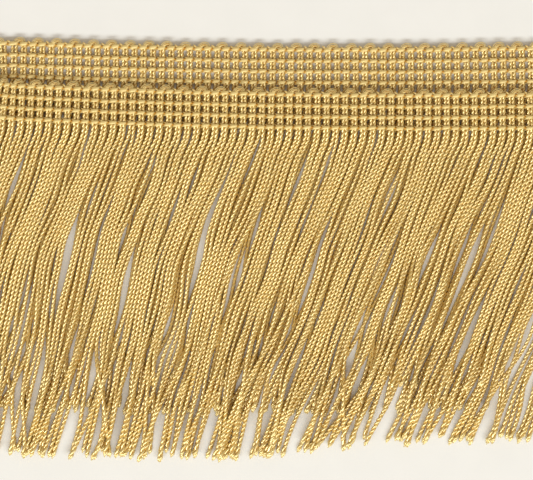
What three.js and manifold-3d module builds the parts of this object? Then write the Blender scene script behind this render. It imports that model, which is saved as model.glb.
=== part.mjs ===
// Cut fringe trim: one cut length of a stitched heading with cut strands, laid double on a surface.
// Millimetres, +Z up from the surface. X runs along the trim and +Y points to the scalloped edge.
// The rear layer lies on the surface, the length folds over once at its -X end,
// and the front layer lies on the rear one, shifted towards -Y.

import * as THREE from 'three';
import { mergeVertices } from 'three/addons/utils/BufferGeometryUtils.js';
import Module from 'manifold-3d';

// Driving sizes of the trim
const STITCH = 2.54;
const ROW_PITCH = 2.96;
const STRAND_PITCH = STITCH / 2;
const STRAND_WIDTH = 0.9;
const STRAND_HEIGHT = 1.1;
const HALF_WEB = 0.5;
const HALF_RIB = 0.85;
const RIB_CROWN = 0.35;
const RIB_FOOT = 0.6;
const PIECE_GAP = 0.3;
const LOOP_PITCH = 2 * STITCH;
const LOOP_HALF_WIDTH = 1.7;
const LOOP_HEIGHT = 1.45;
const HALF_LOOP = 0.42;

// How the length lies: the fold, the two layers' levels and their offset,
// and how the front layer's end comes down past the rear one
const FOLD = { x: -88.5, radius: 1.6, settle: 28, swing: 22 };
const FRONT_END = 104;
const REAR_END = 95;
const REAR_LEVEL = HALF_RIB;
const FRONT_LEVEL = 2.45;
const FRONT_LINE = { height: 31.05, slope: -0.0187, bow: 0.0002 };
const LAYER_OFFSET = { middle: 12.28, slope: 0.0085 };
const END_DROP = { from: 96.5, reach: 7 };
const FLOOR_LANES = { from: 92.5, reach: 2 };

// Lean of the strands, combed towards -X: it grows from the root, and lower down it eases off
// by one share for lanes on the left and by another for lanes on the right
const LEAN = { share: 0.4, start: 6, lag: 0.7 };
const TURN_BACK = { below: 28, reach: 12, left: 0.175, right: 0, from: -25, to: 55 };

// Places where the strands part, on the surface: x, distance below the root, half length, width
const PARTINGS = [
  { x: -53.9, below: 33, reach: 23, width: 1.7 },
  { x: -32.6, below: 22, reach: 14, width: 0.9 },
  { x: -17.5, below: 33, reach: 22, width: 1.4 },
  { x: -1.3, below: 44, reach: 14, width: 0.9 },
  { x: 12, below: 14, reach: 12, width: 0.7 },
  { x: 34.2, below: 19, reach: 12, width: 0.8 },
  { x: 55, below: 30, reach: 16, width: 1.1 },
  { x: -60, below: 82, reach: 24, width: 2.8 },
  { x: -46.5, below: 84, reach: 18, width: 1.2 },
  { x: -20.5, below: 82, reach: 20, width: 1.6 },
  { x: -10.8, below: 84, reach: 18, width: 1.2 },
  { x: -0.4, below: 82, reach: 20, width: 1.8 },
  { x: 10.2, below: 82, reach: 20, width: 2 },
  { x: 26.7, below: 84, reach: 18, width: 1.2 },
  { x: 36, below: 84, reach: 18, width: 1.6 },
  { x: 56.5, below: 84, reach: 20, width: 2.2 },
  { x: 67.3, below: 84, reach: 18, width: 1.4 },
];
const PARTING_SPREAD = 5;

// Strand lengths below the root: full length, the front layer's shorter stretch, and a few cut short
const LENGTHS = { full: 89.9, shorter: 4.3, from: 22, to: 62, uneven: 1.2 };
const CUT_SHORT = [
  { lane: 62, half: 2, length: 70 },
  { lane: 82, half: 1.4, length: 71 },
];

// Strands are kept apart, wander a little towards their tips, and drop from the root to their layer
const SPACING = { least: 1.08, rounds: 60 };
const WANDER = { most: 1.3, from: 45, reach: 45 };
const DROP = { least: 6, most: 18, perLevel: 8, free: 0.5 };

// The two skirts of strands: side of the fold, level, the depth stations and where the ends come down
const REAR = { side: -1, end: REAR_END, level: 0, seed: 3, depths: [0, 6, 26, 52, 94] };
const FRONT = { side: 1, end: FRONT_END, level: 1.4, seed: 8, depths: [0, 14, 34, 58, 79.8, 94] };
const FIRST_STRAND = 1.1;
const LAST_GAP = 0.6;
const TIP_LANDING = 1.8;
const LANDING_OFFSET = 11;
const COLOUR = 0xd6b26a;

const HALF_TURN = (Math.PI * FOLD.radius) / 2;
const ROWS = [1, 2, 3].map((row) => row * ROW_PITCH);
const HEADING_LOW = RIB_FOOT + PIECE_GAP;
const HEADING_TOP = ROWS[2] + RIB_FOOT;

const clamp = (value, low, high) => Math.min(Math.max(value, low), high);
const smooth = (q) => {
  const t = clamp(q, 0, 1);
  return t * t * (3 - 2 * t);
};

// A repeatable scatter between -1 and 1 for a whole number and a seed
const scatter = (index, seed) => {
  const wave = Math.sin(index * 12.9898 + seed * 78.233) * 43758.5453;
  return 2 * (wave - Math.floor(wave)) - 1;
};

// Lane of a point of the length: its X if the layer ran on straight past the fold
const laneAt = (along) => FOLD.x + Math.abs(along) - HALF_TURN;

const frontLine = (x) => FRONT_LINE.height + FRONT_LINE.slope * x + FRONT_LINE.bow * x * x;

// Y of the lowest stitch row of the length, negative positions being the rear layer
const rowLine = (along) => {
  const x = Math.max(laneAt(along), FOLD.x);
  const half = (LAYER_OFFSET.middle + LAYER_OFFSET.slope * x) / 2;
  const turn = Math.sin((Math.PI / 2) * Math.min(Math.abs(along) / FOLD.swing, 1));
  return frontLine(x) + half - Math.sign(along) * half * turn;
};

// Side view of the length: level on the surface, round the fold, and down onto the rear layer
const profile = (along) => {
  if (along < -HALF_TURN) {
    return { x: laneAt(along), z: REAR_LEVEL, outX: 0, outZ: -1 };
  }
  const top = REAR_LEVEL + 2 * FOLD.radius;
  if (along > HALF_TURN) {
    const x = laneAt(along);
    const q = Math.min((along - HALF_TURN) / FOLD.settle, 1);
    const settled = FRONT_LEVEL + ((top - FRONT_LEVEL) * (1 + Math.cos(Math.PI * q))) / 2;
    const drop = (FRONT_LEVEL - REAR_LEVEL) * smooth((x - END_DROP.from) / END_DROP.reach);
    return { x, z: settled - drop, outX: 0, outZ: 1 };
  }
  const angle = along / FOLD.radius;
  return {
    x: FOLD.x - FOLD.radius * Math.cos(angle),
    z: REAR_LEVEL + FOLD.radius * (1 + Math.sin(angle)),
    outX: -Math.cos(angle),
    outZ: Math.sin(angle),
  };
};

const SLOPE_STEP = 0.5;
const rowSlope = (along) => {
  const rise = rowLine(along + SLOPE_STEP) - rowLine(along - SLOPE_STEP);
  return rise / (2 * SLOPE_STEP);
};

// Point of the laid length: along it, across it from the lowest stitch row, and out of its face
const place = (along, across, out) => {
  const slope = rowSlope(along);
  const length = Math.hypot(1, slope);
  const side = profile(along - (slope * across) / length);
  const y = rowLine(along) + across / length;
  return new THREE.Vector3(side.x + side.outX * out, y, side.z + side.outZ * out);
};

const lastAlong = (skirt) => skirt.side * (skirt.end - FOLD.x + HALF_TURN);

// Positions along a layer at an even pitch, measured along its curve
const walk = (first, last, pitch) => {
  const found = [];
  const way = Math.sign(last - first);
  for (let along = first; way * (last - along) > 0; ) {
    found.push(along);
    along += (way * pitch) / Math.hypot(1, rowSlope(along));
  }
  return found;
};

// Closed body from rings of points, each ring turning the same way, with flat ends
const ringBody = (rings, endFaces) => {
  const count = rings[0].length;
  const points = rings.flat();
  const faces = [];
  for (let r = 0; r + 1 < rings.length; r += 1) {
    for (let i = 0; i < count; i += 1) {
      const a = r * count + i;
      const b = r * count + ((i + 1) % count);
      faces.push([a, b, b + count], [a, b + count, a + count]);
    }
  }
  const last = (rings.length - 1) * count;
  for (const [a, b, c] of endFaces) {
    faces.push([a, c, b], [last + a, last + b, last + c]);
  }
  return closedGeometry(points, faces);
};

const closedGeometry = (points, faces) => {
  let volume = 0;
  for (const [a, b, c] of faces) {
    volume += points[a].dot(points[b].clone().cross(points[c]));
  }
  const outward = volume > 0 ? faces : faces.map(([a, b, c]) => [a, c, b]);
  const geometry = new THREE.BufferGeometry().setFromPoints(points);
  geometry.setIndex(outward.flat());
  return geometry;
};

const wasm = await Module();
wasm.setup();

const toSolid = (geometry) => {
  const plain = mergeVertices(geometry);
  return new wasm.Manifold(
    new wasm.Mesh({
      numProp: 3,
      vertProperties: new Float32Array(plain.attributes.position.array),
      triVerts: new Uint32Array(plain.index.array),
    }),
  );
};

const toGeometry = (solid) => {
  const mesh = solid.getMesh();
  const geometry = new THREE.BufferGeometry();
  geometry.setAttribute('position', new THREE.Float32BufferAttribute(mesh.vertProperties, 3));
  geometry.setIndex(Array.from(mesh.triVerts));
  return geometry;
};

// Upper half of a stitched row's rib: foot, crown, crown, foot
const ribTop = (row) => [
  [row - RIB_FOOT, HALF_WEB],
  [row - RIB_CROWN, HALF_RIB],
  [row + RIB_CROWN, HALF_RIB],
  [row + RIB_FOOT, HALF_WEB],
];

// Upper half of the strip that is the lowest row: its lower side is higher where strands leave it
const HALF_STRIP = 0.7;
const STRIP_TOP = [
  [-RIB_FOOT, HALF_STRIP],
  [-RIB_CROWN, HALF_RIB],
  [RIB_CROWN, HALF_RIB],
  [RIB_FOOT, HALF_WEB],
];

// A section is its upper half and the same points mirrored to the lower face
const mirrored = (upper) => [...upper, ...upper.map(([across, out]) => [across, -out]).reverse()];

// Triangles of a flat outline, turning the same way as the outline does
const fillOutline = (outline) => {
  const corners = outline.map(([x, y]) => new THREE.Vector2(x, y));
  const way = Math.sign(THREE.ShapeUtils.area(corners));
  return THREE.ShapeUtils.triangulateShape(corners, []).map(([a, b, c]) => {
    const turn = THREE.ShapeUtils.area([corners[a], corners[b], corners[c]]);
    return turn * way > 0 ? [a, b, c] : [a, c, b];
  });
};

const sweep = (section, stations) => {
  const endFaces = fillOutline(section);
  const rings = stations.map((along) => section.map(([across, out]) => place(along, across, out)));
  return ringBody(rings, endFaces);
};

// Stations of a sweep: close together round the fold and where the front end comes down,
// wide apart where the layers lie straight
const STEPS = { foldFrom: -7, foldTo: 3, fold: 0.72, settling: 5, straight: 22, drop: 2.2, least: 1 };
const stationsBetween = (first, last) => {
  const found = [];
  for (let at = STEPS.foldFrom; at <= STEPS.foldTo; at += STEPS.fold) {
    found.push(at);
  }
  const dropping = END_DROP.from - FOLD.x + HALF_TURN;
  for (const [start, side] of [[STEPS.foldFrom, -1], [STEPS.foldTo, 1]]) {
    for (let way = STEPS.settling / 2; way < dropping - STEPS.settling; ) {
      found.push(start + side * way);
      way += way < FOLD.settle ? STEPS.settling : STEPS.straight;
    }
  }
  for (let at = dropping; at < lastAlong(FRONT); at += STEPS.drop) {
    found.push(at);
  }
  const inside = found.filter((at) => at > first + STEPS.least && at < last - STEPS.least);
  return [first, ...inside.sort((a, b) => a - b), last];
};

// One scallop of the upper edge: a flat half disc that grows out of the heading
const LOOP_STEPS = 3;
const LOOP_ROOT = 0.4;
const scallop = (along) => {
  const rim = [[along - LOOP_HALF_WIDTH, HEADING_TOP - LOOP_ROOT]];
  for (let i = 0; i <= LOOP_STEPS; i += 1) {
    const angle = Math.PI * (1 - i / LOOP_STEPS);
    const across = HEADING_TOP - LOOP_ROOT / 2 + (LOOP_HEIGHT + LOOP_ROOT / 2) * Math.sin(angle);
    rim.push([along + LOOP_HALF_WIDTH * Math.cos(angle), across]);
  }
  rim.push([along + LOOP_HALF_WIDTH, HEADING_TOP - LOOP_ROOT]);
  const endFaces = fillOutline(rim);
  const ringAt = (out) => rim.map(([at, across]) => place(at, across, out));
  return ringBody([ringAt(-HALF_LOOP), ringAt(HALF_LOOP)], endFaces);
};

const headingGeometry = () => {
  const first = lastAlong(REAR);
  const last = lastAlong(FRONT);
  const upper = [[HEADING_LOW, HALF_WEB], ...ROWS.flatMap(ribTop)];
  const band = toSolid(sweep(mirrored(upper), stationsBetween(first, last)));
  const loops = walk(first + LOOP_PITCH / 2, last - LOOP_PITCH / 2, LOOP_PITCH);
  return toGeometry(wasm.Manifold.union([band, ...loops.map((at) => toSolid(scallop(at)))]));
};

// X shift of a strand by its lean, at a distance below its root
const leanAt = (lane, below) => {
  const straight = below - LEAN.lag * LEAN.start * (1 - Math.exp(-below / LEAN.start));
  const right = smooth((lane - TURN_BACK.from) / (TURN_BACK.to - TURN_BACK.from));
  const ease = TURN_BACK.left + (TURN_BACK.right - TURN_BACK.left) * right;
  const past = below - TURN_BACK.below;
  const bend = clamp(past, 0, TURN_BACK.reach);
  const eased = (bend * bend) / (2 * TURN_BACK.reach) + Math.max(past - TURN_BACK.reach, 0);
  return ease * eased - LEAN.share * straight;
};

// Lane of the strand that lies at x at a distance below its root
const LANE_ROUNDS = 6;
const laneUnder = (x, below) => {
  let lane = x;
  for (let round = 0; round < LANE_ROUNDS; round += 1) {
    lane = x - leanAt(lane, below);
  }
  return lane;
};

// X shift where the strands part, at the same places on the surface for both layers
const partingAt = (skirt, lane, below) => {
  let shift = 0;
  for (const parting of PARTINGS) {
    const deeper = skirt === REAR ? LAYER_OFFSET.middle : 0;
    const middle = parting.below + deeper;
    const q = (below - middle) / parting.reach;
    if (Math.abs(q) < 1) {
      const bump = Math.cos((Math.PI / 2) * q) ** 2;
      const away = lane - laneUnder(parting.x, middle);
      const push = Math.exp(-Math.abs(away) / PARTING_SPREAD);
      shift += (parting.width / 2) * bump * push * Math.sign(away);
    }
  }
  return shift;
};

// Strand places at one depth, kept in order and the least spacing apart
const spaced = (places) => {
  const row = [...places];
  for (let round = 0; round < SPACING.rounds; round += 1) {
    for (let i = 0; i + 1 < row.length; i += 1) {
      const lack = SPACING.least - (row[i + 1] - row[i]);
      if (lack > 0) {
        row[i] -= lack / 2;
        row[i + 1] += lack / 2;
      }
    }
  }
  return row;
};

// Level of a strand's underside: from its root down to what it rests on,
// which is the surface for the last lanes of the front layer
const levelAt = (skirt, lane, rootLevel, below) => {
  const rest = skirt.level * (1 - smooth((lane - FLOOR_LANES.from) / FLOOR_LANES.reach));
  const drop = rootLevel - rest;
  const reach = clamp(DROP.least + DROP.perLevel * (drop - DROP.free), DROP.least, DROP.most);
  return rest + drop * (1 - smooth(below / reach));
};

// Past the rear ends the front strands come down to the surface, but not by the fold
const landsAt = (skirt, along, end) => {
  const offset = rowLine(-along) - rowLine(along);
  const landing = skirt.depths[skirt.depths.length - 2];
  return skirt === FRONT && offset > LANDING_OFFSET && end > landing + 2 * TIP_LANDING;
};

const strandEnd = (skirt, lane, index) => {
  const uneven = LENGTHS.uneven * scatter(index, skirt.seed + 1);
  if (skirt === REAR) {
    return LENGTHS.full + uneven;
  }
  const short = CUT_SHORT.find((place) => Math.abs(lane - place.lane) < place.half);
  const share = smooth((lane - LENGTHS.from) / (LENGTHS.to - LENGTHS.from));
  return short ? short.length + uneven : LENGTHS.full - LENGTHS.shorter * share + uneven;
};

// All strands of one skirt, each a bar of three sides with its flat side down
const strandBodies = (skirt) => {
  const lastRoot = lastAlong(skirt) - skirt.side * LAST_GAP;
  const roots = walk(skirt.side * FIRST_STRAND, lastRoot, STRAND_PITCH);
  const lanes = roots.map(laneAt);
  const rows = skirt.depths.map((below, level) => {
    if (level === 0) {
      return roots.map((along) => profile(along).x);
    }
    const wander = WANDER.most * smooth((below - WANDER.from) / WANDER.reach);
    const free = lanes.map((lane, i) => {
      const stray = wander * scatter(i, skirt.seed + 2);
      return lane + leanAt(lane, below) + partingAt(skirt, lane, below) + stray;
    });
    return spaced(free);
  });
  return roots.map((along, i) => {
    const end = strandEnd(skirt, lanes[i], i);
    const rootY = rowLine(along);
    const rootLevel = profile(along).z - STRAND_HEIGHT / 2;
    const xAt = (below) => {
      const k = skirt.depths.findIndex((depth) => depth >= below);
      const from = skirt.depths[k - 1] ?? 0;
      const share = k > 0 ? (below - from) / (skirt.depths[k] - from) : 0;
      return k > 0 ? rows[k - 1][i] * (1 - share) + rows[k][i] * share : rows[0][i];
    };
    const lands = landsAt(skirt, along, end);
    const inner = skirt.depths.filter((depth) => depth < end - TIP_LANDING);
    const cuts = lands ? [...inner, end - TIP_LANDING, end] : [...inner, end];
    const rings = cuts.map((below, k) => {
      const ahead = cuts[Math.min(k + 1, cuts.length - 1)];
      const behind = cuts[Math.max(k - 1, 0)];
      const way = new THREE.Vector2(xAt(ahead) - xAt(behind), behind - ahead).normalize();
      const half = STRAND_WIDTH / 2;
      const x = xAt(below);
      const y = rootY - below;
      const z = lands && k > inner.length - 1 ? 0 : levelAt(skirt, lanes[i], rootLevel, below);
      return [
        new THREE.Vector3(x + way.y * half, y - way.x * half, z),
        new THREE.Vector3(x - way.y * half, y + way.x * half, z),
        new THREE.Vector3(x, y, z + STRAND_HEIGHT),
      ];
    });
    return ringBody(rings, [[0, 1, 2]]);
  });
};

// The lowest stitch row is the strip that carries the strands of one layer
const fringeGeometry = (skirt) => {
  const ends = [skirt.side * PIECE_GAP, lastAlong(skirt)].sort((a, b) => a - b);
  const strip = toSolid(sweep(mirrored(STRIP_TOP), stationsBetween(...ends)));
  return toGeometry(wasm.Manifold.union([strip, ...strandBodies(skirt).map(toSolid)]));
};

const clothMaterial = () =>
  new THREE.MeshStandardMaterial({ color: COLOUR, roughness: 0.55, metalness: 0 });

const namedMesh = (name, geometry) => {
  const mesh = new THREE.Mesh(geometry, clothMaterial());
  mesh.name = name;
  return mesh;
};

const trim = new THREE.Group();
trim.add(namedMesh('heading', headingGeometry()));
trim.add(namedMesh('fringe_rear', fringeGeometry(REAR)));
trim.add(namedMesh('fringe_front', fringeGeometry(FRONT)));

// The origin goes to the middle of the trim's box, on the surface it lies on
const box = new THREE.Box3().setFromObject(trim);
const middle = box.getCenter(new THREE.Vector3());
for (const mesh of trim.children) {
  mesh.geometry.translate(-middle.x, -middle.y, -box.min.z);
}

export default trim;
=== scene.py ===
# Cut fringe trim: the looks of its stitched heading, twisted strands and frayed ends.
import math
import bpy
import numpy as np
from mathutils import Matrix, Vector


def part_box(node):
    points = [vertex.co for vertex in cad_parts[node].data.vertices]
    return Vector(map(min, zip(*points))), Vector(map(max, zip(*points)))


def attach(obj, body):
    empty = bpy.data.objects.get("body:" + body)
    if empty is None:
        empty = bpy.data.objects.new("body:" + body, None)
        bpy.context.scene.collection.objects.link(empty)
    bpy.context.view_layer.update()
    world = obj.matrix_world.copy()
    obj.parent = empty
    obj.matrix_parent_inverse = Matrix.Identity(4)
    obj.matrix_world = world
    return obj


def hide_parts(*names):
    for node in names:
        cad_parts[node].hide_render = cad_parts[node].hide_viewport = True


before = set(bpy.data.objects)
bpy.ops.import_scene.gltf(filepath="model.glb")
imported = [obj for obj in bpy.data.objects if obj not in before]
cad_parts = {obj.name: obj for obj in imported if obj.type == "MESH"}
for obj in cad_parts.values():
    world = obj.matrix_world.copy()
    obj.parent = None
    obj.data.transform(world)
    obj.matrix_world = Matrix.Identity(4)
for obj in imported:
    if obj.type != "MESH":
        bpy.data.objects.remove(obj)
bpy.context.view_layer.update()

# Sizes are in millimetres. Places are in the layout, whose origin is the middle of the photo's view.
MM = 0.001
STITCH = 2.54
ROWS = 4
ROW_PITCH = 2.96
STRAND_PITCH = STITCH / 2
FIRST_STRAND = 1.1
FIRST_STITCH = FIRST_STRAND + STRAND_PITCH / 2
LAST_GAP = 0.6
FLOOR_CLEARANCE = 0.02

# The solids' scallops above the highest row, and the stretch of the rear layer where they reach furthest
SCALLOP_RISE = 2.05
SCALLOP_SPAN = (20, 180)

# How the length lies: the fold, the two layers' levels and their offset
FOLD_X = -88.5
FOLD_RADIUS = 1.6
FOLD_SETTLE = 28
FOLD_SWING = 22
HALF_TURN = math.pi * FOLD_RADIUS / 2
REAR_LEVEL = 0.85
FRONT_LEVEL = 2.45
FRONT_LINE = {"height": 31.05, "slope": -0.0187, "bow": 0.0002}
LAYER_OFFSET = {"middle": 12.28, "slope": 0.0085}
END_DROP = {"from": 96.5, "reach": 7}

# The two skirts of strands: side is -1 for the rear layer and 1 for the front one, rest is the level
# of the strands' middles, strays is the share that crosses others, lift is the most that the strands
# below raise one, and rough is how far its level wavers
REAR = {
    "name": "rear", "side": -1, "end": 95, "seed": 3, "cord_seed": 43,
    "rest": 0.6, "strays": 0.1, "lift": 0.22, "rough": 0.06,
}
FRONT = {
    "name": "front", "side": 1, "end": 104, "seed": 8, "cord_seed": 48,
    "rest": 1.9, "strays": 0.32, "lift": 1.5, "rough": 0.17,
}
FLOOR_LANES = {"from": 92.5, "reach": 2}

# Lean of the strands: it grows from the root, and lower down it eases off on the left
LEAN = {"share": 0.4, "start": 6, "lag": 0.7}
TURN_BACK = {"below": 28, "reach": 12, "left": 0.175, "right": 0.0, "from": -25, "to": 55}

# Places where the strands part, on the surface in the layout, with half their length and their width
PARTINGS = [
    # x, below, reach, width
    (-53.9, 33, 23, 1.7),
    (-69, 17, 8, 0.8),
    (-63, 23, 8, 0.7),
    (-33.8, 16, 8, 0.8),
    (-31.4, 28, 8, 0.7),
    (-17.5, 33, 22, 1.4),
    (-8.6, 41, 8, 0.8),
    (-1.3, 40, 8, 0.9),
    (1.2, 52, 9, 0.9),
    (9.2, 42, 9, 0.8),
    (9.2, 12, 8, 0.7),
    (16, 11, 8, 0.7),
    (34.2, 19, 8, 0.8),
    (52.5, 20, 7, 0.8),
    (57.2, 11, 7, 0.7),
    (54.5, 35, 9, 0.9),
    (59.7, 24, 8, 0.8),
    (-27, 57, 9, 0.8),
    (11.4, 64, 8, 0.8),
    (-60, 82, 20, 3.4),
    (-71.5, 82, 14, 1.6),
    (-64, 84, 14, 1.6),
    (-54, 82, 14, 1.5),
    (-46.5, 84, 14, 1.4),
    (-21, 80, 16, 2.0),
    (-14.6, 82, 14, 1.6),
    (-7, 82, 14, 1.6),
    (-0.4, 80, 16, 2.2),
    (10.2, 81, 18, 2.8),
    (26.7, 82, 14, 1.4),
    (33, 80, 14, 1.5),
    (37, 84, 14, 2.0),
    (54.7, 83, 16, 2.4),
    (58, 84, 14, 2.2),
    (61, 85, 12, 1.8),
    (67.3, 84, 14, 1.8),
]
PARTING_SPREAD = 5
PARTING_GAIN = 1.3
PARTING_POINTED = 1.3

# Narrow partings between those in the table, whose places and sizes are drawn from these ranges
SMALL_PARTINGS = {
    "count": 90, "seed": 31,
    "x": (-100, 100), "below": (10, 78), "reach": (6, 17), "width": (0.5, 1.25),
}

# Strand lengths below the root, and the few front strands that were cut short
LENGTHS = {"full": 89.9, "shorter": 4.3, "from": 22, "to": 62, "uneven": 1.2}
CUT_SHORT = [
    # lane, half the width, length
    (62, 2, 70),
    (82, 1.4, 71),
]

# Depths below the roots and heights in the heading at which a strand's path has its points
DEPTHS = np.arange(0, 94.1, 2.0)
HEADING_STEPS = np.arange(9.6, 0.4, -0.8)
LEAST_LAST_STEP = 0.5

# Waves that neighbouring strands share, each strand's own wiggles, and its wander, all in x
LATE = {"from": 45, "reach": 45}
WAVES = {"gain": 0.85, "late": 0.4, "wide": 6, "narrow": 2.6, "narrow_gain": 0.7, "levels": 24}
WIGGLE = {"gain": 0.4, "late": 0.5, "length": 19, "short_gain": 0.16, "short_length": 7, "starts": 12}
WANDER = 1.3

# Least spacing of the strands of one layer, which lessens towards their ends
SPACING = {"least": 0.97, "lessens": 0.24, "from": 60, "reach": 26, "rounds": 90}

# How the strands draw together near their ends, how each goes its own way there, and those that stray
BUNCHES = {"share": 0.3, "from": 58, "reach": 30, "draw": (0.05, 0.45)}
OWN_WAY = {"slope": 0.14, "from": 56, "reach": 14}
STRAYS = {"from": (18, 70), "reach": 40, "slope": (0.03, 0.13)}

# The two cords of a stitch column are squeezed together in the heading, and part again below it
PAIR = {"squeeze": 0.2, "shift": 0.2, "fade": 9, "opens_at": -0.4, "opens_over": 1.4}
ROOT_FADE = 8

# The way down from the roots, the lift over other strands, and the front strands' landing on the floor
DESCENT = {"least": 6, "most": 18, "slope": 8, "free_drop": 0.3}
STACK_WIDTH = 0.92
LIFT_STARTS = 10
ROUGH_LENGTH = 8
LANDING = {"from": 79.8, "lead": 2, "least_length": 4, "least_offset": 11}


def smooth(q):
    t = np.clip(q, 0, 1)
    return t * t * (3 - 2 * t)


def blend(pair, share):
    """Value between the two of a pair."""
    return pair[0] + (pair[1] - pair[0]) * share


def unit(vectors):
    return vectors / np.linalg.norm(vectors, axis=-1, keepdims=True)


def scatter(index, seed):
    """Repeatable scatter between -1 and 1, the same as in the solids."""
    wave = np.sin(np.asarray(index) * 12.9898 + seed * 78.233) * 43758.5453
    return 2 * (wave - np.floor(wave)) - 1


def between_columns(table, at):
    """Each row of a table, blended smoothly between its columns."""
    cell = np.floor(at).astype(int)
    share = smooth(at - cell)
    return table[:, cell] * (1 - share) + table[:, cell + 1] * share


def noise_rows(rows, places, spacing, rng):
    """One smooth random line a row, between -1 and 1, at the given places."""
    knots = int(places.max() / spacing) + 3
    return between_columns(rng.uniform(-1, 1, (rows, knots)), places / spacing)


# The laid length


def lane_at(along):
    return FOLD_X + np.abs(along) - HALF_TURN


def row_line(along):
    """Y of the lowest stitch row of the length."""
    x = np.maximum(lane_at(along), FOLD_X)
    half = (LAYER_OFFSET["middle"] + LAYER_OFFSET["slope"] * x) / 2
    turn = np.sin(math.pi / 2 * np.minimum(np.abs(along) / FOLD_SWING, 1))
    front = FRONT_LINE["height"] + FRONT_LINE["slope"] * x + FRONT_LINE["bow"] * x * x
    return front + half - np.sign(along) * half * turn


def row_slope(along, step=0.5):
    return (row_line(along + step) - row_line(along - step)) / (2 * step)


def profile(along):
    """Side view of the length: x, z and the direction out of its face."""
    angle = np.clip(along / FOLD_RADIUS, -math.pi / 2, math.pi / 2)
    beyond = np.maximum(np.abs(along) - HALF_TURN, 0)
    top = REAR_LEVEL + 2 * FOLD_RADIUS
    settled = (1 - np.cos(math.pi * np.minimum(beyond / FOLD_SETTLE, 1))) / 2
    z = REAR_LEVEL + FOLD_RADIUS * (1 + np.sin(angle))
    x = FOLD_X - FOLD_RADIUS * np.cos(angle) + beyond
    drop = (FRONT_LEVEL - REAR_LEVEL) * smooth((x - END_DROP["from"]) / END_DROP["reach"])
    z = z - np.where(along > HALF_TURN, (top - FRONT_LEVEL) * settled + drop, 0)
    return x, z, -np.cos(angle), np.sin(angle)


def place(along, across, out):
    """Points of the laid length: along it, across it from its lowest row, and out of its face."""
    slope = row_slope(along)
    length = np.hypot(1, slope)
    x, z, out_x, out_z = profile(along - slope * across / length)
    y = row_line(along) + across / length
    return np.stack([x + out_x * out, y, z + out_z * out], -1)


def walk(skirt, first, pitch):
    """Positions along a layer at an even pitch, measured along its curve."""
    last = skirt["end"] - FOLD_X + HALF_TURN - LAST_GAP
    found = []
    along = first
    while along < last:
        found.append(skirt["side"] * along)
        along += pitch / math.hypot(1, row_slope(np.float64(skirt["side"] * along)))
    return np.array(found)


# The layout's place in the frame, from the heading's right end and the top of its scallops
heading_corner = np.array(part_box("heading")[1]) / MM
scallop_line = place(-np.linspace(*SCALLOP_SPAN, 400), (ROWS - 1) * ROW_PITCH + SCALLOP_RISE, 0)
LAYOUT_SHIFT = np.array([heading_corner[0] - FRONT["end"], heading_corner[1] - scallop_line[:, 1].max(), 0])


def to_frame(points):
    return (points + LAYOUT_SHIFT) * MM


# The strands' paths


def eased(past, reach):
    """A line that starts bending at zero and is straight beyond its reach."""
    bend = np.clip(past, 0, reach)
    return bend * bend / (2 * reach) + np.maximum(past - reach, 0)


def lean_at(lanes, below):
    """X shift of a strand by its lean at a distance below its root."""
    start = LEAN["start"]
    straight = below - LEAN["lag"] * start * (1 - np.exp(-below / start))
    right = smooth((lanes - TURN_BACK["from"]) / (TURN_BACK["to"] - TURN_BACK["from"]))
    ease = blend((TURN_BACK["left"], TURN_BACK["right"]), right)
    return ease * eased(below - TURN_BACK["below"], TURN_BACK["reach"]) - LEAN["share"] * straight


def lane_under(x, below):
    """Lane of the strand that lies at x at this distance below its root."""
    lane = x
    for _ in range(6):
        lane = x - lean_at(lane, below)
    return lane


def small_partings():
    rng = np.random.default_rng(SMALL_PARTINGS["seed"])
    rows = []
    for _ in range(SMALL_PARTINGS["count"]):
        width = rng.uniform(*SMALL_PARTINGS["width"])
        x, below, reach = (rng.uniform(*SMALL_PARTINGS[key]) for key in ("x", "below", "reach"))
        rows.append((x, below, reach, width))
    return rows


def parting_shift(skirt, lanes):
    """X shift where the strands part, at the same places on the surface for both layers."""
    deeper = LAYER_OFFSET["middle"] if skirt is REAR else 0
    shift = np.zeros((len(lanes), len(DEPTHS)))
    for x, middle, reach, width in PARTINGS + small_partings():
        middle_lane = lane_under(x, np.float64(middle + deeper))
        q = np.clip((DEPTHS - middle - deeper) / reach, -1, 1)
        bump = np.cos(math.pi / 2 * q) ** PARTING_POINTED
        away = lanes - middle_lane
        push = np.exp(-np.abs(away) / PARTING_SPREAD) * np.sign(away)
        shift += PARTING_GAIN * width / 2 * push[:, None] * bump[None, :]
    return shift


def shared_waves(lanes, rng):
    """Waves that neighbouring strands share, drawn at a few levels below the roots."""
    levels = int(DEPTHS[-1] / WAVES["levels"]) + 3
    places = lanes - lanes.min()
    waves = noise_rows(levels, places, WAVES["wide"], rng).T
    waves += WAVES["narrow_gain"] * noise_rows(levels, places, WAVES["narrow"], rng).T
    return between_columns(waves, DEPTHS / WAVES["levels"])


def spaced(places, least):
    """Strand places, one column a depth, moved until they are the least spacing apart."""
    row = places.copy()
    for _ in range(SPACING["rounds"]):
        lack = np.maximum(least - np.diff(row, axis=0), 0) / 2
        row[:-1] -= lack
        row[1:] += lack
    return row


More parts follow.
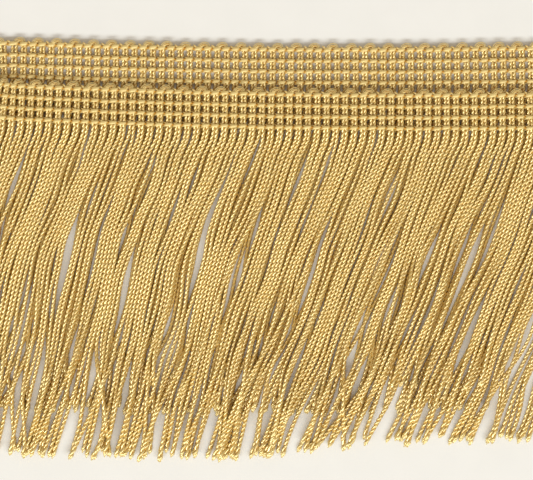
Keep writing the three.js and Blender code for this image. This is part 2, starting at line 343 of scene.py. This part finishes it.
def places_below(skirt, lanes, rng):
    """X of each strand at each depth: the lean, the partings, waves and each strand's wander."""
    count = len(lanes)
    late = smooth((DEPTHS - LATE["from"]) / LATE["reach"])
    waves = WAVES["gain"] * shared_waves(lanes, rng) * smooth(DEPTHS / WAVES["levels"])
    wiggle = noise_rows(count, DEPTHS, WIGGLE["length"], rng) * (WIGGLE["gain"] + WIGGLE["late"] * late)
    wiggle += WIGGLE["short_gain"] * noise_rows(count, DEPTHS, WIGGLE["short_length"], rng)
    wander = WANDER * late[None, :] * scatter(np.arange(count), skirt["seed"] + 2)[:, None]
    x = lanes[:, None] + lean_at(lanes[:, None], DEPTHS[None, :]) + parting_shift(skirt, lanes)
    x = x + wiggle * smooth(DEPTHS / WIGGLE["starts"]) + wander + waves * (1 + WAVES["late"] * late)
    nearer = smooth((DEPTHS - SPACING["from"]) / SPACING["reach"])
    return spaced(x, SPACING["least"] - SPACING["lessens"] * nearer[None, :])


def drawn_together(x, rng):
    """The strands drawn together in bunches near their ends, each then going its own way."""
    bunch = np.cumsum(rng.uniform(size=len(x)) < BUNCHES["share"])
    near_end = smooth((DEPTHS - BUNCHES["from"]) / BUNCHES["reach"])
    members = np.maximum(np.bincount(bunch), 1)[:, None]
    middles = np.stack([np.bincount(bunch, column) for column in x.T], -1) / members
    draw = rng.uniform(*BUNCHES["draw"], len(middles))
    x = x + (middles[bunch] - x) * draw[bunch, None] * near_end
    slopes = rng.normal(0, OWN_WAY["slope"], len(x))
    return x + slopes[:, None] * eased(DEPTHS - OWN_WAY["from"], OWN_WAY["reach"])


def add_strays(skirt, x, rng):
    """Lets some strands stray over their neighbours, and tells which. Most of them go to the right."""
    strays = rng.uniform(size=len(x)) < skirt["strays"]
    for i in np.flatnonzero(strays):
        past = np.clip(DEPTHS - rng.uniform(*STRAYS["from"]), 0, STRAYS["reach"])
        x[i] += past * rng.uniform(*STRAYS["slope"]) * rng.choice([-1, 1, 1])
    for _ in range(2):
        x[:, 1:-1] = (x[:, :-2] + 2 * x[:, 1:-1] + x[:, 2:]) / 4
    return strays


def from_roots(x, roots, pairs):
    """X of each strand, led from its root, where it is squeezed against its pair."""
    root_share = smooth(DEPTHS / ROOT_FADE)
    x = profile(roots)[0][:, None] * (1 - root_share) + x * root_share
    pinch = PAIR["squeeze"] * pairs + PAIR["shift"]
    return x + pinch[:, None] * (1 - smooth(DEPTHS / PAIR["fade"]))[None, :]


def stacked(x, order, most):
    """Lift of each strand where it lies over the ones that were laid before it."""
    lift = np.zeros_like(x)
    laid = []
    for i in order:
        if laid:
            over = np.clip(STACK_WIDTH ** 2 - (x[laid] - x[i]) ** 2, 0, None)
            lift[i] = np.where(over > 0, lift[laid] + np.sqrt(over), 0).max(axis=0)
        lift[i] = np.minimum(lift[i], most)
        laid.append(i)
    padded = np.pad(lift, ((0, 0), (1, 1)), "edge")
    lift = np.maximum(np.maximum(padded[:, :-2], padded[:, 2:]), lift)
    for _ in range(2):
        padded = np.pad(lift, ((0, 0), (1, 1)), "edge")
        lift = (padded[:, :-2] + 2 * lift + padded[:, 2:]) / 4
    return lift


def strand_ends(skirt, lanes):
    """Length of each strand below its root."""
    uneven = LENGTHS["uneven"] * scatter(np.arange(len(lanes)), skirt["seed"] + 1)
    ends = LENGTHS["full"] + uneven
    if skirt is FRONT:
        span = LENGTHS["to"] - LENGTHS["from"]
        ends = ends - LENGTHS["shorter"] * smooth((lanes - LENGTHS["from"]) / span)
        for lane, half, length in CUT_SHORT:
            ends = np.where(np.abs(lanes - lane) < half, length + uneven, ends)
    return ends


def levels_below(skirt, roots, x, ends, strays, rng):
    """Z of each strand at each depth: down to its layer, then over the strands that lie below."""
    rest = np.full(len(roots), skirt["rest"])
    if skirt is FRONT:
        on_floor = smooth((lane_at(roots) - FLOOR_LANES["from"]) / FLOOR_LANES["reach"])
        rest -= (FRONT["rest"] - REAR["rest"]) * on_floor
    drop = profile(roots)[1] - rest
    reach = DESCENT["least"] + DESCENT["slope"] * (drop - DESCENT["free_drop"])
    reach = np.clip(reach, DESCENT["least"], DESCENT["most"])
    z = rest[:, None] + drop[:, None] * (1 - smooth(DEPTHS[None, :] / reach[:, None]))
    order = np.argsort(rng.uniform(size=len(roots)) + strays)
    lift = stacked(x, order, skirt["lift"])
    lift += skirt["rough"] * noise_rows(len(roots), DEPTHS, ROUGH_LENGTH, rng)
    z = z + lift * smooth(DEPTHS / LIFT_STARTS)
    if skirt is FRONT:
        offset = row_line(-roots) - row_line(roots)
        lands = (offset > LANDING["least_offset"]) & (ends > LANDING["from"] + LANDING["least_length"])
        past = DEPTHS[None, :] - LANDING["from"] + LANDING["lead"]
        fall = smooth(past / (ends[:, None] - LANDING["from"]))
        z = z - np.where(lands[:, None], (rest[:, None] - REAR["rest"]) * fall, 0)
    return z


def whole_path(skirt, root, pair, end, below):
    """One strand's path: through the heading, then below it as far as its cut end."""
    opened = smooth((HEADING_STEPS - PAIR["opens_at"]) / PAIR["opens_over"])
    squeeze = PAIR["squeeze"] * pair * opened + PAIR["shift"]
    inside = place(root + skirt["side"] * squeeze, HEADING_STEPS, np.zeros(len(HEADING_STEPS)))
    cut = [[np.interp(end, DEPTHS, line) for line in below.T]]
    return np.concatenate([inside, below[DEPTHS < end - LEAST_LAST_STEP], cut])


def strand_paths(skirt):
    """Centre lines of one layer's strands, from the scallops through the heading to the cut ends."""
    rng = np.random.default_rng(skirt["seed"])
    roots = walk(skirt, FIRST_STRAND, STRAND_PITCH)
    lanes = lane_at(roots)
    pairs = np.where(np.arange(len(roots)) % 2 == 0, 1, -1)
    ends = strand_ends(skirt, lanes)
    x = drawn_together(places_below(skirt, lanes, rng), rng)
    strays = add_strays(skirt, x, rng)
    x = from_roots(x, roots, pairs)
    y = row_line(roots)[:, None] - DEPTHS[None, :]
    z = levels_below(skirt, roots, x, ends, strays, rng)
    below = np.stack([x, y, z], -1)
    return [whole_path(skirt, *strand) for strand in zip(roots, pairs, ends, below)]


# Meshes of yarn


def ring_faces(rings, sides):
    """Quads between rings of points, and flat ends of triangles."""
    r, i = np.meshgrid(np.arange(rings - 1), np.arange(sides), indexing="ij")
    a, b = r * sides + i, r * sides + (i + 1) % sides
    quads = np.stack([a, b, b + sides, a + sides], -1).reshape(-1, 4)
    fan = np.array([[0, k + 1, k] for k in range(1, sides - 1)])
    far = (rings - 1) * sides + fan[:, ::-1]
    return quads, np.concatenate([fan, far])


def ring_map(rings, sides, lengthwise):
    """Map of a tube's quads: across is the share of the way round, up is the way along."""
    r, i = np.meshgrid(np.arange(rings - 1), np.arange(sides), indexing="ij")
    u0, u1 = i / sides, (i + 1) / sides
    v0, v1 = lengthwise[r], lengthwise[r + 1]
    corners = [np.stack([u0, v0], -1), np.stack([u1, v0], -1)]
    corners += [np.stack([u1, v1], -1), np.stack([u0, v1], -1)]
    return np.stack(corners, -2).reshape(-1, 4, 2)


class YarnMesh:
    """Gathers closed tubes of yarn into one mesh, with a map along and round each yarn.

    Each point has a tone, higher where the yarn is lighter, and a share of painted light, higher further
    out of the cord and lower where the materials paint shade.
    """

    def __init__(self):
        self.points = []
        self.quads = []
        self.triangles = []
        self.quad_maps = []
        self.tones = []
        self.painted_lights = []
        self.count = 0

    def add_tube(self, rings, lengthwise, tone, painted_light=1.0):
        """Adds a tube of rings of points, with each ring's place along the yarn."""
        quads, ends = ring_faces(*rings.shape[:2])
        points = rings.reshape(-1, 3)
        self.points.append(points)
        self.quads.append(quads + self.count)
        self.triangles.append(ends + self.count)
        self.quad_maps.append(ring_map(*rings.shape[:2], lengthwise))
        self.tones.append(np.broadcast_to(np.float64(tone), len(points)))
        self.painted_lights.append(np.broadcast_to(np.float64(painted_light), len(points)))
        self.count += len(points)

    def build(self, name, material):
        points = np.concatenate(self.points)
        points[:, 2] = np.maximum(points[:, 2], FLOOR_CLEARANCE)
        quads = np.concatenate(self.quads)
        triangles = np.concatenate(self.triangles)
        flat_map = np.zeros((3 * len(triangles), 2))
        maps = np.concatenate([np.concatenate(self.quad_maps).reshape(-1, 2), flat_map])
        mesh = bpy.data.meshes.new(name)
        mesh.vertices.add(len(points))
        mesh.vertices.foreach_set("co", to_frame(points).astype(np.float32).ravel())
        mesh.loops.add(4 * len(quads) + 3 * len(triangles))
        corners = np.concatenate([quads.ravel(), triangles.ravel()])
        mesh.loops.foreach_set("vertex_index", corners.astype(np.int32))
        mesh.polygons.add(len(quads) + len(triangles))
        starts = np.concatenate([
            4 * np.arange(len(quads)),
            4 * len(quads) + 3 * np.arange(len(triangles)),
        ])
        mesh.polygons.foreach_set("loop_start", starts.astype(np.int32))
        mesh.update(calc_edges=True)
        mesh.polygons.foreach_set("use_smooth", np.ones(len(mesh.polygons), bool))
        mesh.uv_layers.new(name="ply").data.foreach_set("uv", maps.astype(np.float32).ravel())
        # Per point: the tone, and the share of painted light, which is lowered where the materials paint
        # shade
        for label, values in (("tone", self.tones), ("painted_light", self.painted_lights)):
            layer = mesh.attributes.new(label, "FLOAT", "POINT")
            layer.data.foreach_set("value", np.concatenate(values).astype(np.float32))
        mesh.materials.append(material)
        piece = bpy.data.objects.new(name, mesh)
        bpy.context.scene.collection.objects.link(piece)
        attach(piece, "root")
        return piece


def distances(path):
    """Distance along a path of each of its points."""
    return np.concatenate([[0], np.cumsum(np.linalg.norm(np.diff(path, axis=0), axis=1))])


def side_and_up(forward):
    """Unit vectors to the side of a lying direction, and upwards from it."""
    side = unit(np.cross((0, 0, 1), forward))
    return side, np.cross(forward, side)


# The twisted cords

# The length of a full turn, how far a cord's two plies lie from its middle, and half a ply's size
# outwards and sideways, where it is pressed flat against the other ply
TURN = 2.65
PLY_SHIFT = 0.235
PLY_THICK = 0.33
PLY_WIDE = 0.42
PLY_SIDES = 4
CORD_RADIUS = PLY_SHIFT + PLY_THICK

# Rings in a turn of the cord, where it shows and where the front layer covers it
OPEN_RINGS = 5.0
COVERED_RINGS = 3.0
COVERED = {"from": 14, "to": 12}

# How cords differ, how they thin in the heading, how they swell and loosen towards their ends, and the
# share of painted light that makes their upper side lighter and their underside darker
TURN_RANGE = (0.94, 1.07)
GIRTH_RANGE = (0.96, 1.05)
THINNING = {"share": 0.12, "margin": 0.6, "fade": 2}
SWELLING = {"share": 0.1, "reach": 26}
LOOSENING = {"reach": 2.6, "untwist": 0.3, "gap": 0.5}
CORD_TONE = {"mean": 0.35, "spread": 0.2, "loose": 0.4}
TOP_PAINTED_LIGHT = 0.28


def ring_steps(skirt, length, turn):
    """Places of a cord's rings, wider apart where the front layer covers it."""
    if skirt is FRONT:
        return np.linspace(0, length, int(length / turn * OPEN_RINGS))
    ends = (0, COVERED["from"], length - COVERED["to"], length)
    steps = [np.array([0.0])]
    for first, last, rings in zip(ends, ends[1:], (OPEN_RINGS, COVERED_RINGS, OPEN_RINGS)):
        steps.append(np.linspace(first, last, int((last - first) / turn * rings) + 1)[1:])
    return np.concatenate(steps)


def ply_corners(turned, girth, gap):
    """Corners of a ply's section in each ring: across the cord's middle and above it."""
    corner = 2 * math.pi * np.arange(PLY_SIDES) / PLY_SIDES
    away = corner[None, :] - turned[:, None]
    radius = PLY_THICK * PLY_WIDE / np.hypot(PLY_WIDE * np.cos(away), PLY_THICK * np.sin(away))
    radius = radius * girth[:, None]
    shift = PLY_SHIFT * girth * (1 + gap)
    across = (shift * np.cos(turned))[:, None] + radius * np.cos(corner)
    above = (shift * np.sin(turned))[:, None] + radius * np.sin(corner)
    return across, above


def add_cord(yarns, path, skirt, rng, openness):
    """One cord of two plies twisted round each other. Gives its end and the way that it points."""
    turn = TURN * rng.uniform(*TURN_RANGE)
    way = distances(path)
    steps = ring_steps(skirt, way[-1], turn)
    centres = np.stack([np.interp(steps, way, line) for line in path.T], -1)
    side, up = side_and_up(unit(np.gradient(centres, axis=0)))
    in_heading = smooth((HEADING_STEPS[0] + THINNING["margin"] - steps) / THINNING["fade"])
    near_end = smooth((steps - way[-1] + SWELLING["reach"]) / SWELLING["reach"])
    girth = 1 - THINNING["share"] * in_heading + SWELLING["share"] * near_end
    girth = girth * rng.uniform(*GIRTH_RANGE)
    loose = smooth((steps - way[-1] + LOOSENING["reach"]) / LOOSENING["reach"])
    turns = np.concatenate([[0], np.cumsum(np.diff(steps) / girth[1:] / turn)])
    angle = 2 * math.pi * (turns - LOOSENING["untwist"] * loose + rng.uniform())
    tone = np.clip(rng.normal(CORD_TONE["mean"], CORD_TONE["spread"]), 0, 1)
    tone = tone + CORD_TONE["loose"] * np.repeat(loose, PLY_SIDES)
    for turned in (angle, angle + math.pi):
        across, above = ply_corners(turned, girth, LOOSENING["gap"] * openness * loose)
        # Painted light and shade: each ply is painted darker towards the cord's middle, as shade in the
        # valley between the plies, and lighter on the cord's upper side than on its underside
        outward = np.hypot(across, above) / CORD_RADIUS / girth[:, None]
        painted_light = outward * (1 - TOP_PAINTED_LIGHT + TOP_PAINTED_LIGHT * above / CORD_RADIUS)
        corners = across[..., None] * side[:, None, :] + above[..., None] * up[:, None, :]
        yarns.add_tube(centres[:, None, :] + corners, steps / turn, tone, painted_light.ravel())
    return centres[-1], unit(centres[-1] - centres[-2])


# A cut end's brush of locks: places along a lock, how far it has spread there, and its radius there
LOCK_PLACES = np.array([0, 0.5, 1])
LOCK_SPREAD = np.array([0.5, 1, 0.85])
LOCK_RADII = np.array([0.22, 0.26, 0.1])
LOCK_SIDES = 4

# The brush starts behind the end. Its half width and length are those of a closed end and an open one,
# and the other pairs are ranges that a lock's values are drawn from.
TUFT = {
    "locks": 6, "behind": 0.9, "half_wide": (0.22, 0.6), "length": (1.6, 2.2), "uneven": 0.1,
    "reach": (0.8, 1.1), "rounded": 0.2, "rise": (-0.2, 0.25), "flat_sides": 0.5, "tone": (0.75, 1.1),
}
FEW_OPEN = 1.5


def add_tuft(yarns, end, forward, rng, openness):
    """The loose fibres of a cut end: a small brush of blunt locks."""
    side, up = side_and_up(forward)
    half_wide = blend(TUFT["half_wide"], openness)
    length = blend(TUFT["length"], openness)
    corner = 2 * math.pi * np.arange(LOCK_SIDES) / LOCK_SIDES
    section = np.cos(corner)[:, None] * side + np.sin(corner)[:, None] * up
    for lean in np.linspace(-1, 1, TUFT["locks"]) + rng.normal(0, TUFT["uneven"], TUFT["locks"]):
        reach = length * rng.uniform(*TUFT["reach"]) * (1 - TUFT["rounded"] * lean * lean)
        rise = rng.uniform(*TUFT["rise"]) * (1 - TUFT["flat_sides"] * abs(lean))
        middle = end - TUFT["behind"] * forward + np.outer(LOCK_PLACES * reach, forward)
        middle = middle + np.outer(LOCK_SPREAD, lean * half_wide * side + rise * up)
        rings = middle[:, None, :] + LOCK_RADII[:, None, None] * section[None, :, :]
        yarns.add_tube(rings, LOCK_PLACES * reach / TURN, rng.uniform(*TUFT["tone"]))


def strand_pieces(skirt, material, parts):
    """The twisted strands of one layer, with their frayed ends, in a few pieces."""
    rng = np.random.default_rng(skirt["cord_seed"])
    paths = strand_paths(skirt)
    pieces = []
    for part, chosen in enumerate(np.array_split(np.arange(len(paths)), parts)):
        yarns = YarnMesh()
        for i in chosen:
            openness = rng.uniform() ** FEW_OPEN
            end, forward = add_cord(yarns, paths[i], skirt, rng, openness)
            add_tuft(yarns, end, forward, rng, openness)
        pieces.append(yarns.build(f"strands_{skirt['name']}_{part + 1}", material))
    return pieces


# The heading's stitches

# Paths of their yarns in the cloth: along it, across it and out of it
BLOCK = [(-0.96, 0.0, 0.1), (-0.76, 0.0, 0.42), (0.0, 0.0, 0.6), (0.76, 0.0, 0.45), (0.96, 0.0, 0.1)]
UPPER_YARN = [(-1.3, 0.68, 0.0), (-0.95, 0.5, 0.3), (-0.3, 0.36, 0.5), (0.4, 0.3, 0.4)]
LOWER_YARN = [(-1.5, -0.6, 0.05), (-1.0, -0.5, 0.32), (-0.3, -0.38, 0.5), (0.4, -0.3, 0.4)]
SHADED_CORE = [(-1.27, 0.0, 0.05), (1.27, 0.0, 0.05)]
BACK_BAR = [(-1.3, 0, -0.45), (-0.7, 0.05, -0.62), (0.7, -0.05, -0.62), (1.3, 0, -0.45)]
HORN = [(-0.3, 1.0, 0.0), (0.0, 0.86, 0.3), (0.5, 0.56, 0.45)]
LOOP_SHADE_FILL = [(-0.95, 0.62, -0.3), (0.2, 1.14, -0.2), (1.2, 0.62, -0.3)]
LOOP_HOOK = [(-1.1, 0.42, 0.35), (-0.6, 0.72, 0.5), (0.05, 0.86, 0.4)]

# The yarns round a block, those of a loop besides its arcs, and the one between two loops. The core under
# the gaps between blocks and the fill under a loop's arcs are dark yarns of painted shade.
STITCH_YARNS = [
    # path, rings, sides, half width, half thickness, taper, share of painted light (below one is painted
    # shade)
    (UPPER_YARN, 4, 5, 0.13, 0.14, 0.3, 0.9),
    (LOWER_YARN, 4, 5, 0.13, 0.14, 0.3, 0.9),
    # painted shade: a core yarn under the gaps between blocks, painted dark
    (SHADED_CORE, 2, 5, 0.34, 0.2, 0, 0.1),
    (BACK_BAR, 4, 5, 0.5, 0.2, 0.2, 0.8),
]
LOOP_YARNS = [
    # painted shade: a dark fill under the loop's arcs
    (LOOP_SHADE_FILL, 4, 5, 0.54, 0.2, 0.3, 0.3),
    (LOOP_HOOK, 4, 5, 0.24, 0.18, 0.3, 0.9),
]
HORN_YARN = (HORN, 5, 6, 0.2, 0.18, 0.4, 0.9)

# Shape of the blocks, and their sizes in the lower rows and in the highest one
BLOCK_SHAPE = {"rings": 7, "sides": 7, "taper": 0.15, "slant": 0.5}
PLAIN_BLOCK = {"wide": 0.51, "thick": 0.21, "shift": 0}
TOP_BLOCK = {"wide": 0.58, "thick": 0.2, "shift": 0.12}

# The arcs of the scalloped edge's loops, which span two stitches and lean along the row
ARCS = [
    # half, height, level, foot
    (1.6, 1.52, 0.4, 0.36),
    (1.22, 1.1, 0.6, 0.36),
    (0.84, 0.68, 0.5, 0.4),
]
ARC = {"wide": 0.11, "thick": 0.17, "taper": 0.1, "rings": 10, "sides": 5}
ARC_COURSE = {"lean": 0.3, "past_half": 0.1, "low": 0.4}

# How far a whole stitch and each of its yarns are out of place, and the range of a stitch's tone
UNEVEN = {"stitch": 0.05, "yarn": 0.02, "tone": (0.3, 0.7)}
HEADING_SEED = 21


def bent(points, rings):
    """A smooth path through a few points."""
    points = np.array(points, float)
    way = distances(points)
    at = np.linspace(0, way[-1], rings)
    slopes = np.gradient(points, way, axis=0)
    cell = np.clip(np.searchsorted(way, at, "right") - 1, 0, len(way) - 2)
    span = (way[cell + 1] - way[cell])[:, None]
    t = (at - way[cell])[:, None] / span
    return ((2 * t**3 - 3 * t**2 + 1) * points[cell] + (t**3 - 2 * t**2 + t) * span * slopes[cell]
            + (3 * t**2 - 2 * t**3) * points[cell + 1] + (t**3 - t**2) * span * slopes[cell + 1])


def flat_tube(path, sides, wide, thick, taper):
    """Rings of points round a path in the cloth, with half its width and thickness."""
    forward = unit(np.gradient(path, axis=0))
    inward = unit(np.stack([-forward[:, 1], forward[:, 0], np.zeros(len(path))], -1))
    out = np.cross(forward, inward)
    thin = 1 - taper * np.abs(np.linspace(-1, 1, len(path))) ** 3
    around = 2 * math.pi * np.arange(sides) / sides
    across = wide * thin[:, None] * np.cos(around)[None, :]
    above = thick * thin[:, None] * np.sin(around)[None, :]
    return path[:, None, :] + across[..., None] * inward[:, None, :] + above[..., None] * out[:, None, :]


def yarn_tube(path, rings, sides, wide, thick, taper, painted_light):
    """A row of the tables of yarns as a tube, with its share of painted light."""
    return flat_tube(bent(path, rings), sides, wide, thick, taper), painted_light


def block_tube(wide, thick, shift):
    """The flat block in the middle of a stitch, slanted along the row, with its full share of painted
    light.
    """
    path = bent(BLOCK, BLOCK_SHAPE["rings"]) + (0, shift, 0)
    rings = flat_tube(path, BLOCK_SHAPE["sides"], wide, thick, BLOCK_SHAPE["taper"])
    rings[..., 0] += BLOCK_SHAPE["slant"] * rings[..., 1]
    return rings, 1.0


def arc_tube(half, height, level, foot):
    """An arc over two stitches, whose feet dip under them, with its full share of painted light."""
    past = ARC_COURSE["past_half"]
    turn = np.linspace(-past, math.pi + past, ARC["rings"])
    along = ARC_COURSE["lean"] * np.sin(turn) - half * np.cos(turn)
    rise = np.minimum(1, ARC_COURSE["low"] + np.sin(turn))
    path = np.stack([along, foot + height * np.sin(turn), level * rise], -1)
    return flat_tube(path, ARC["sides"], ARC["wide"], ARC["thick"], ARC["taper"]), 1.0


def add_stitches(yarns, skirt, centres, height, tubes, rng):
    """The same stitch, of tubes and their shares of painted light, at many places along a row, each a
    little uneven.
    """
    side = skirt["side"]
    for centre in centres:
        shift = rng.normal(0, UNEVEN["stitch"], 3)
        tone = rng.uniform(*UNEVEN["tone"])
        for rings, painted_light in tubes:
            points = rings + shift + rng.normal(0, UNEVEN["yarn"], 3)
            laid = place(centre + side * points[..., 0], height + points[..., 1], side * points[..., 2])
            yarns.add_tube(laid, np.linspace(0, 1, len(rings)), tone, painted_light)


def heading_piece(material):
    """The four chain-stitched rows and the scalloped edge of both layers."""
    yarns = YarnMesh()
    rng = np.random.default_rng(HEADING_SEED)
    stitch_yarns = [yarn_tube(*row) for row in STITCH_YARNS]
    plain_stitch = [block_tube(**PLAIN_BLOCK), *stitch_yarns]
    top_stitch = [block_tube(**TOP_BLOCK), *stitch_yarns]
    loop = [arc_tube(*row) for row in ARCS] + [yarn_tube(*row) for row in LOOP_YARNS]
    top = ROWS - 1
    for skirt in (REAR, FRONT):
        columns = walk(skirt, FIRST_STITCH, STITCH)
        for row in range(ROWS):
            stitch = top_stitch if row == top else plain_stitch
            add_stitches(yarns, skirt, columns, row * ROW_PITCH, stitch, rng)
        edges = walk(skirt, FIRST_STITCH + STITCH / 2, STITCH)
        add_stitches(yarns, skirt, edges[::2], top * ROW_PITCH, loop, rng)
        add_stitches(yarns, skirt, edges[1::2], top * ROW_PITCH, [yarn_tube(*HORN_YARN)], rng)
    return yarns.build("heading_yarns", material)


# Materials

# Linear colours of the yarn, from its deep folds to its bright crests, and of its highlights. The deepest
# is painted shade in the cords' folds and on the stitches' deeper yarns; the next is painted shade in the
# cords and a darker tone of the stitches' own; the brightest is painted light on the cords' crests and also
# the lighter tone of cords and stitches.
DEEP_SHADE = (0.76, 0.34, 0.012)
DARK_GOLD_AND_SHADE = (0.74, 0.42, 0.04)
GOLD = (0.71, 0.49, 0.14)
BRIGHT = (0.79, 0.63, 0.27)
HIGHLIGHT = (1, 0.92, 0.56, 1)

# Linear colours of the paper's mottle, and the relief of the fibres in metres
PAPER = ((0.845, 0.88, 0.885), (0.865, 0.9, 0.905))
FIBRE_RELIEF = 0.00008


class Nodes:
    """Short ways to add and join a material's nodes."""

    def __init__(self, name):
        self.material = bpy.data.materials.new(name)
        self.material.use_nodes = True
        self.tree = self.material.node_tree
        self.shader = self.tree.nodes["Principled BSDF"]

    def add(self, kind, inputs=None, **settings):
        node = self.tree.nodes.new(kind)
        for key, value in settings.items():
            setattr(node, key, value)
        for key, value in (inputs or {}).items():
            self.put(node.inputs[key], value)
        return node

    def put(self, socket, value):
        if isinstance(value, bpy.types.NodeSocket):
            self.tree.links.new(value, socket)
        else:
            socket.default_value = value

    def maths(self, operation, first, second):
        return self.add("ShaderNodeMath", {0: first, 1: second}, operation=operation).outputs[0]

    def total(self, *terms):
        """Sum of values, each with its weight."""
        whole = 0.0
        for value, weight in terms:
            whole = self.maths("ADD", whole, self.maths("MULTIPLY", value, weight))
        return whole

    def attribute(self, name):
        return self.add("ShaderNodeAttribute", attribute_name=name).outputs["Fac"]

    def noise(self, vector, scale, detail):
        inputs = {"Vector": vector, "Scale": scale, "Detail": detail}
        return self.add("ShaderNodeTexNoise", inputs).outputs[0]

    def mottle(self, scale, detail):
        return self.noise(self.add("ShaderNodeTexCoord").outputs["Object"], scale, detail)

    def filaments(self, across, detail):
        """Fine streaks along the yarn."""
        ply = self.add("ShaderNodeUVMap", uv_map="ply").outputs[0]
        lines = self.add("ShaderNodeMapping", {"Vector": ply, "Scale": (across, 1.2, 1.0)}).outputs[0]
        return self.noise(lines, 2.0, detail)

    def mix(self, share, first, second):
        node = self.add("ShaderNodeMix", data_type="RGBA")
        self.put(node.inputs["Factor"], share)
        self.put(node.inputs["A"], first)
        self.put(node.inputs["B"], second)
        return node.outputs["Result"]

    def ramp(self, value, *stops):
        node = self.add("ShaderNodeValToRGB", {"Fac": value})
        ends = node.color_ramp.elements
        while len(ends) < len(stops):
            ends.new(0.5)
        for element, (position, colour) in zip(ends, stops):
            element.position = position
            element.color = (*colour, 1)
        return node.outputs["Color"]

    def bump(self, height, strength):
        inputs = {"Height": height, "Strength": strength, "Distance": FIBRE_RELIEF}
        return self.add("ShaderNodeBump", inputs).outputs[0]

    def set(self, **values):
        for key, value in values.items():
            self.put(self.shader.inputs[key.replace("_", " ")], value)


def cord_material():
    """Two-ply rayon cord: painted light on its crests and upper side, painted shade in the valleys between
    the plies and on its underside, and fine filaments.
    """
    n = Nodes("gold_cord")
    filaments = n.filaments(across=12.0, detail=4.0)
    mottle = n.maths("SUBTRACT", n.mottle(scale=320.0, detail=3.0), 0.5)
    # Lightness: painted light and shade from the per-point attribute, with the own tone of the filaments
    # and the mottle
    lightness = n.total((n.attribute("painted_light"), 0.6), (filaments, 0.3), (mottle, 0.2))
    base = n.ramp(lightness, (0.32, DEEP_SHADE), (0.48, DARK_GOLD_AND_SHADE), (0.64, GOLD), (0.84, BRIGHT))
    base = n.mix(n.maths("MULTIPLY", n.attribute("tone"), 0.3), base, (*BRIGHT, 1))
    round_ply = n.add("ShaderNodeTangent", direction_type="UV_MAP", uv_map="ply").outputs[0]
    n.set(Base_Color=base, Normal=n.bump(filaments, 0.5), Tangent=round_ply, Roughness=0.29)
    n.shader.inputs["IOR"].default_value = 2.8
    n.shader.inputs["Specular IOR Level"].default_value = 1.0
    n.shader.inputs["Specular Tint"].default_value = HIGHLIGHT
    n.shader.inputs["Anisotropic"].default_value = 0.8
    return n.material


def stitch_material():
    """Untwisted rayon yarn of the stitches: smooth satin with fine lengthwise filaments, and painted shade
    on the deeper yarns and the cores in the gaps.
    """
    n = Nodes("gold_stitch")
    filaments = n.filaments(across=16.0, detail=3.0)
    mottle = n.mottle(scale=260.0, detail=3.0)
    lightness = n.total((filaments, 0.55), (mottle, 0.3), (n.attribute("tone"), 0.25))
    base = n.ramp(lightness, (0.05, DARK_GOLD_AND_SHADE), (0.25, GOLD), (0.58, BRIGHT))
    # Painted shade: yarns whose share of painted light is below one are mixed towards the darkest colour
    base = n.mix(n.attribute("painted_light"), (*DEEP_SHADE, 1), base)
    n.set(Base_Color=base, Normal=n.bump(filaments, 0.45), Roughness=0.4)
    n.shader.inputs["IOR"].default_value = 1.8
    n.shader.inputs["Specular IOR Level"].default_value = 1.0
    n.shader.inputs["Specular Tint"].default_value = HIGHLIGHT
    return n.material


def paper_material():
    n = Nodes("pale_paper")
    darker, lighter = PAPER
    base = n.ramp(n.mottle(scale=90.0, detail=4.0), (0.3, darker), (0.7, lighter))
    n.set(Base_Color=base, Roughness=0.9)
    return n.material


# The stage

# The camera looks straight down on the photograph's stretch of the trim
VIEW_WIDTH = 146.2
LENS = 200
SENSOR = 36

# One wide soft light from the strands' ends, low enough for the heading's shadow, and a warm fill.
# These sizes are in metres.
KEY_LIGHT = {"place": (0.0, -3.4, 3.45), "size": (11.0, 1.3), "power": 336, "colour": (0.97, 0.96, 0.94)}
FILL = {"colour": (0.95, 0.8, 0.635, 1), "strength": 0.5}
FLOOR_HALF = 1.5


def add_camera():
    camera = bpy.data.cameras.new("camera")
    camera.sensor_width = SENSOR
    camera.lens = LENS
    camera.clip_start = 0.05
    camera.clip_end = 5
    camera_object = bpy.data.objects.new("camera", camera)
    height = VIEW_WIDTH * LENS / SENSOR + FRONT["rest"]
    camera_object.location = to_frame(np.array([0, 0, height]))
    bpy.context.scene.collection.objects.link(camera_object)
    bpy.context.scene.camera = camera_object


def add_key_light():
    """A soft light, wide along the trim, that faces the middle of the frame."""
    light = bpy.data.lights.new("key", "AREA")
    light.shape = "RECTANGLE"
    light.size, light.size_y = KEY_LIGHT["size"]
    light.energy = KEY_LIGHT["power"]
    light.color = KEY_LIGHT["colour"]
    light_object = bpy.data.objects.new("key", light)
    light_object.location = KEY_LIGHT["place"]
    light_object.visible_camera = False
    to_middle = -light_object.location
    light_object.rotation_euler = to_middle.to_track_quat("-Z", "Y").to_euler()
    bpy.context.scene.collection.objects.link(light_object)


def add_fill():
    world = bpy.data.worlds.new("studio")
    world.use_nodes = True
    background = world.node_tree.nodes["Background"]
    background.inputs["Color"].default_value = FILL["colour"]
    background.inputs["Strength"].default_value = FILL["strength"]
    bpy.context.scene.world = world
    bpy.context.scene.view_settings.view_transform = "Standard"


def add_floor():
    mesh = bpy.data.meshes.new("floor")
    corners = [(x * FLOOR_HALF, y * FLOOR_HALF, 0) for x, y in ((-1, -1), (1, -1), (1, 1), (-1, 1))]
    mesh.from_pydata(corners, [], [(0, 1, 2, 3)])
    mesh.materials.append(paper_material())
    floor = bpy.data.objects.new("floor", mesh)
    bpy.context.scene.collection.objects.link(floor)


add_camera()
add_floor()
add_key_light()
add_fill()
cord = cord_material()
heading = heading_piece(stitch_material())
rear_strands = strand_pieces(REAR, cord, 2)
front_strands = strand_pieces(FRONT, cord, 3)

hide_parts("heading")
for piece in rear_strands:
    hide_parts("fringe_rear")
for piece in front_strands:
    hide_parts("fringe_front")
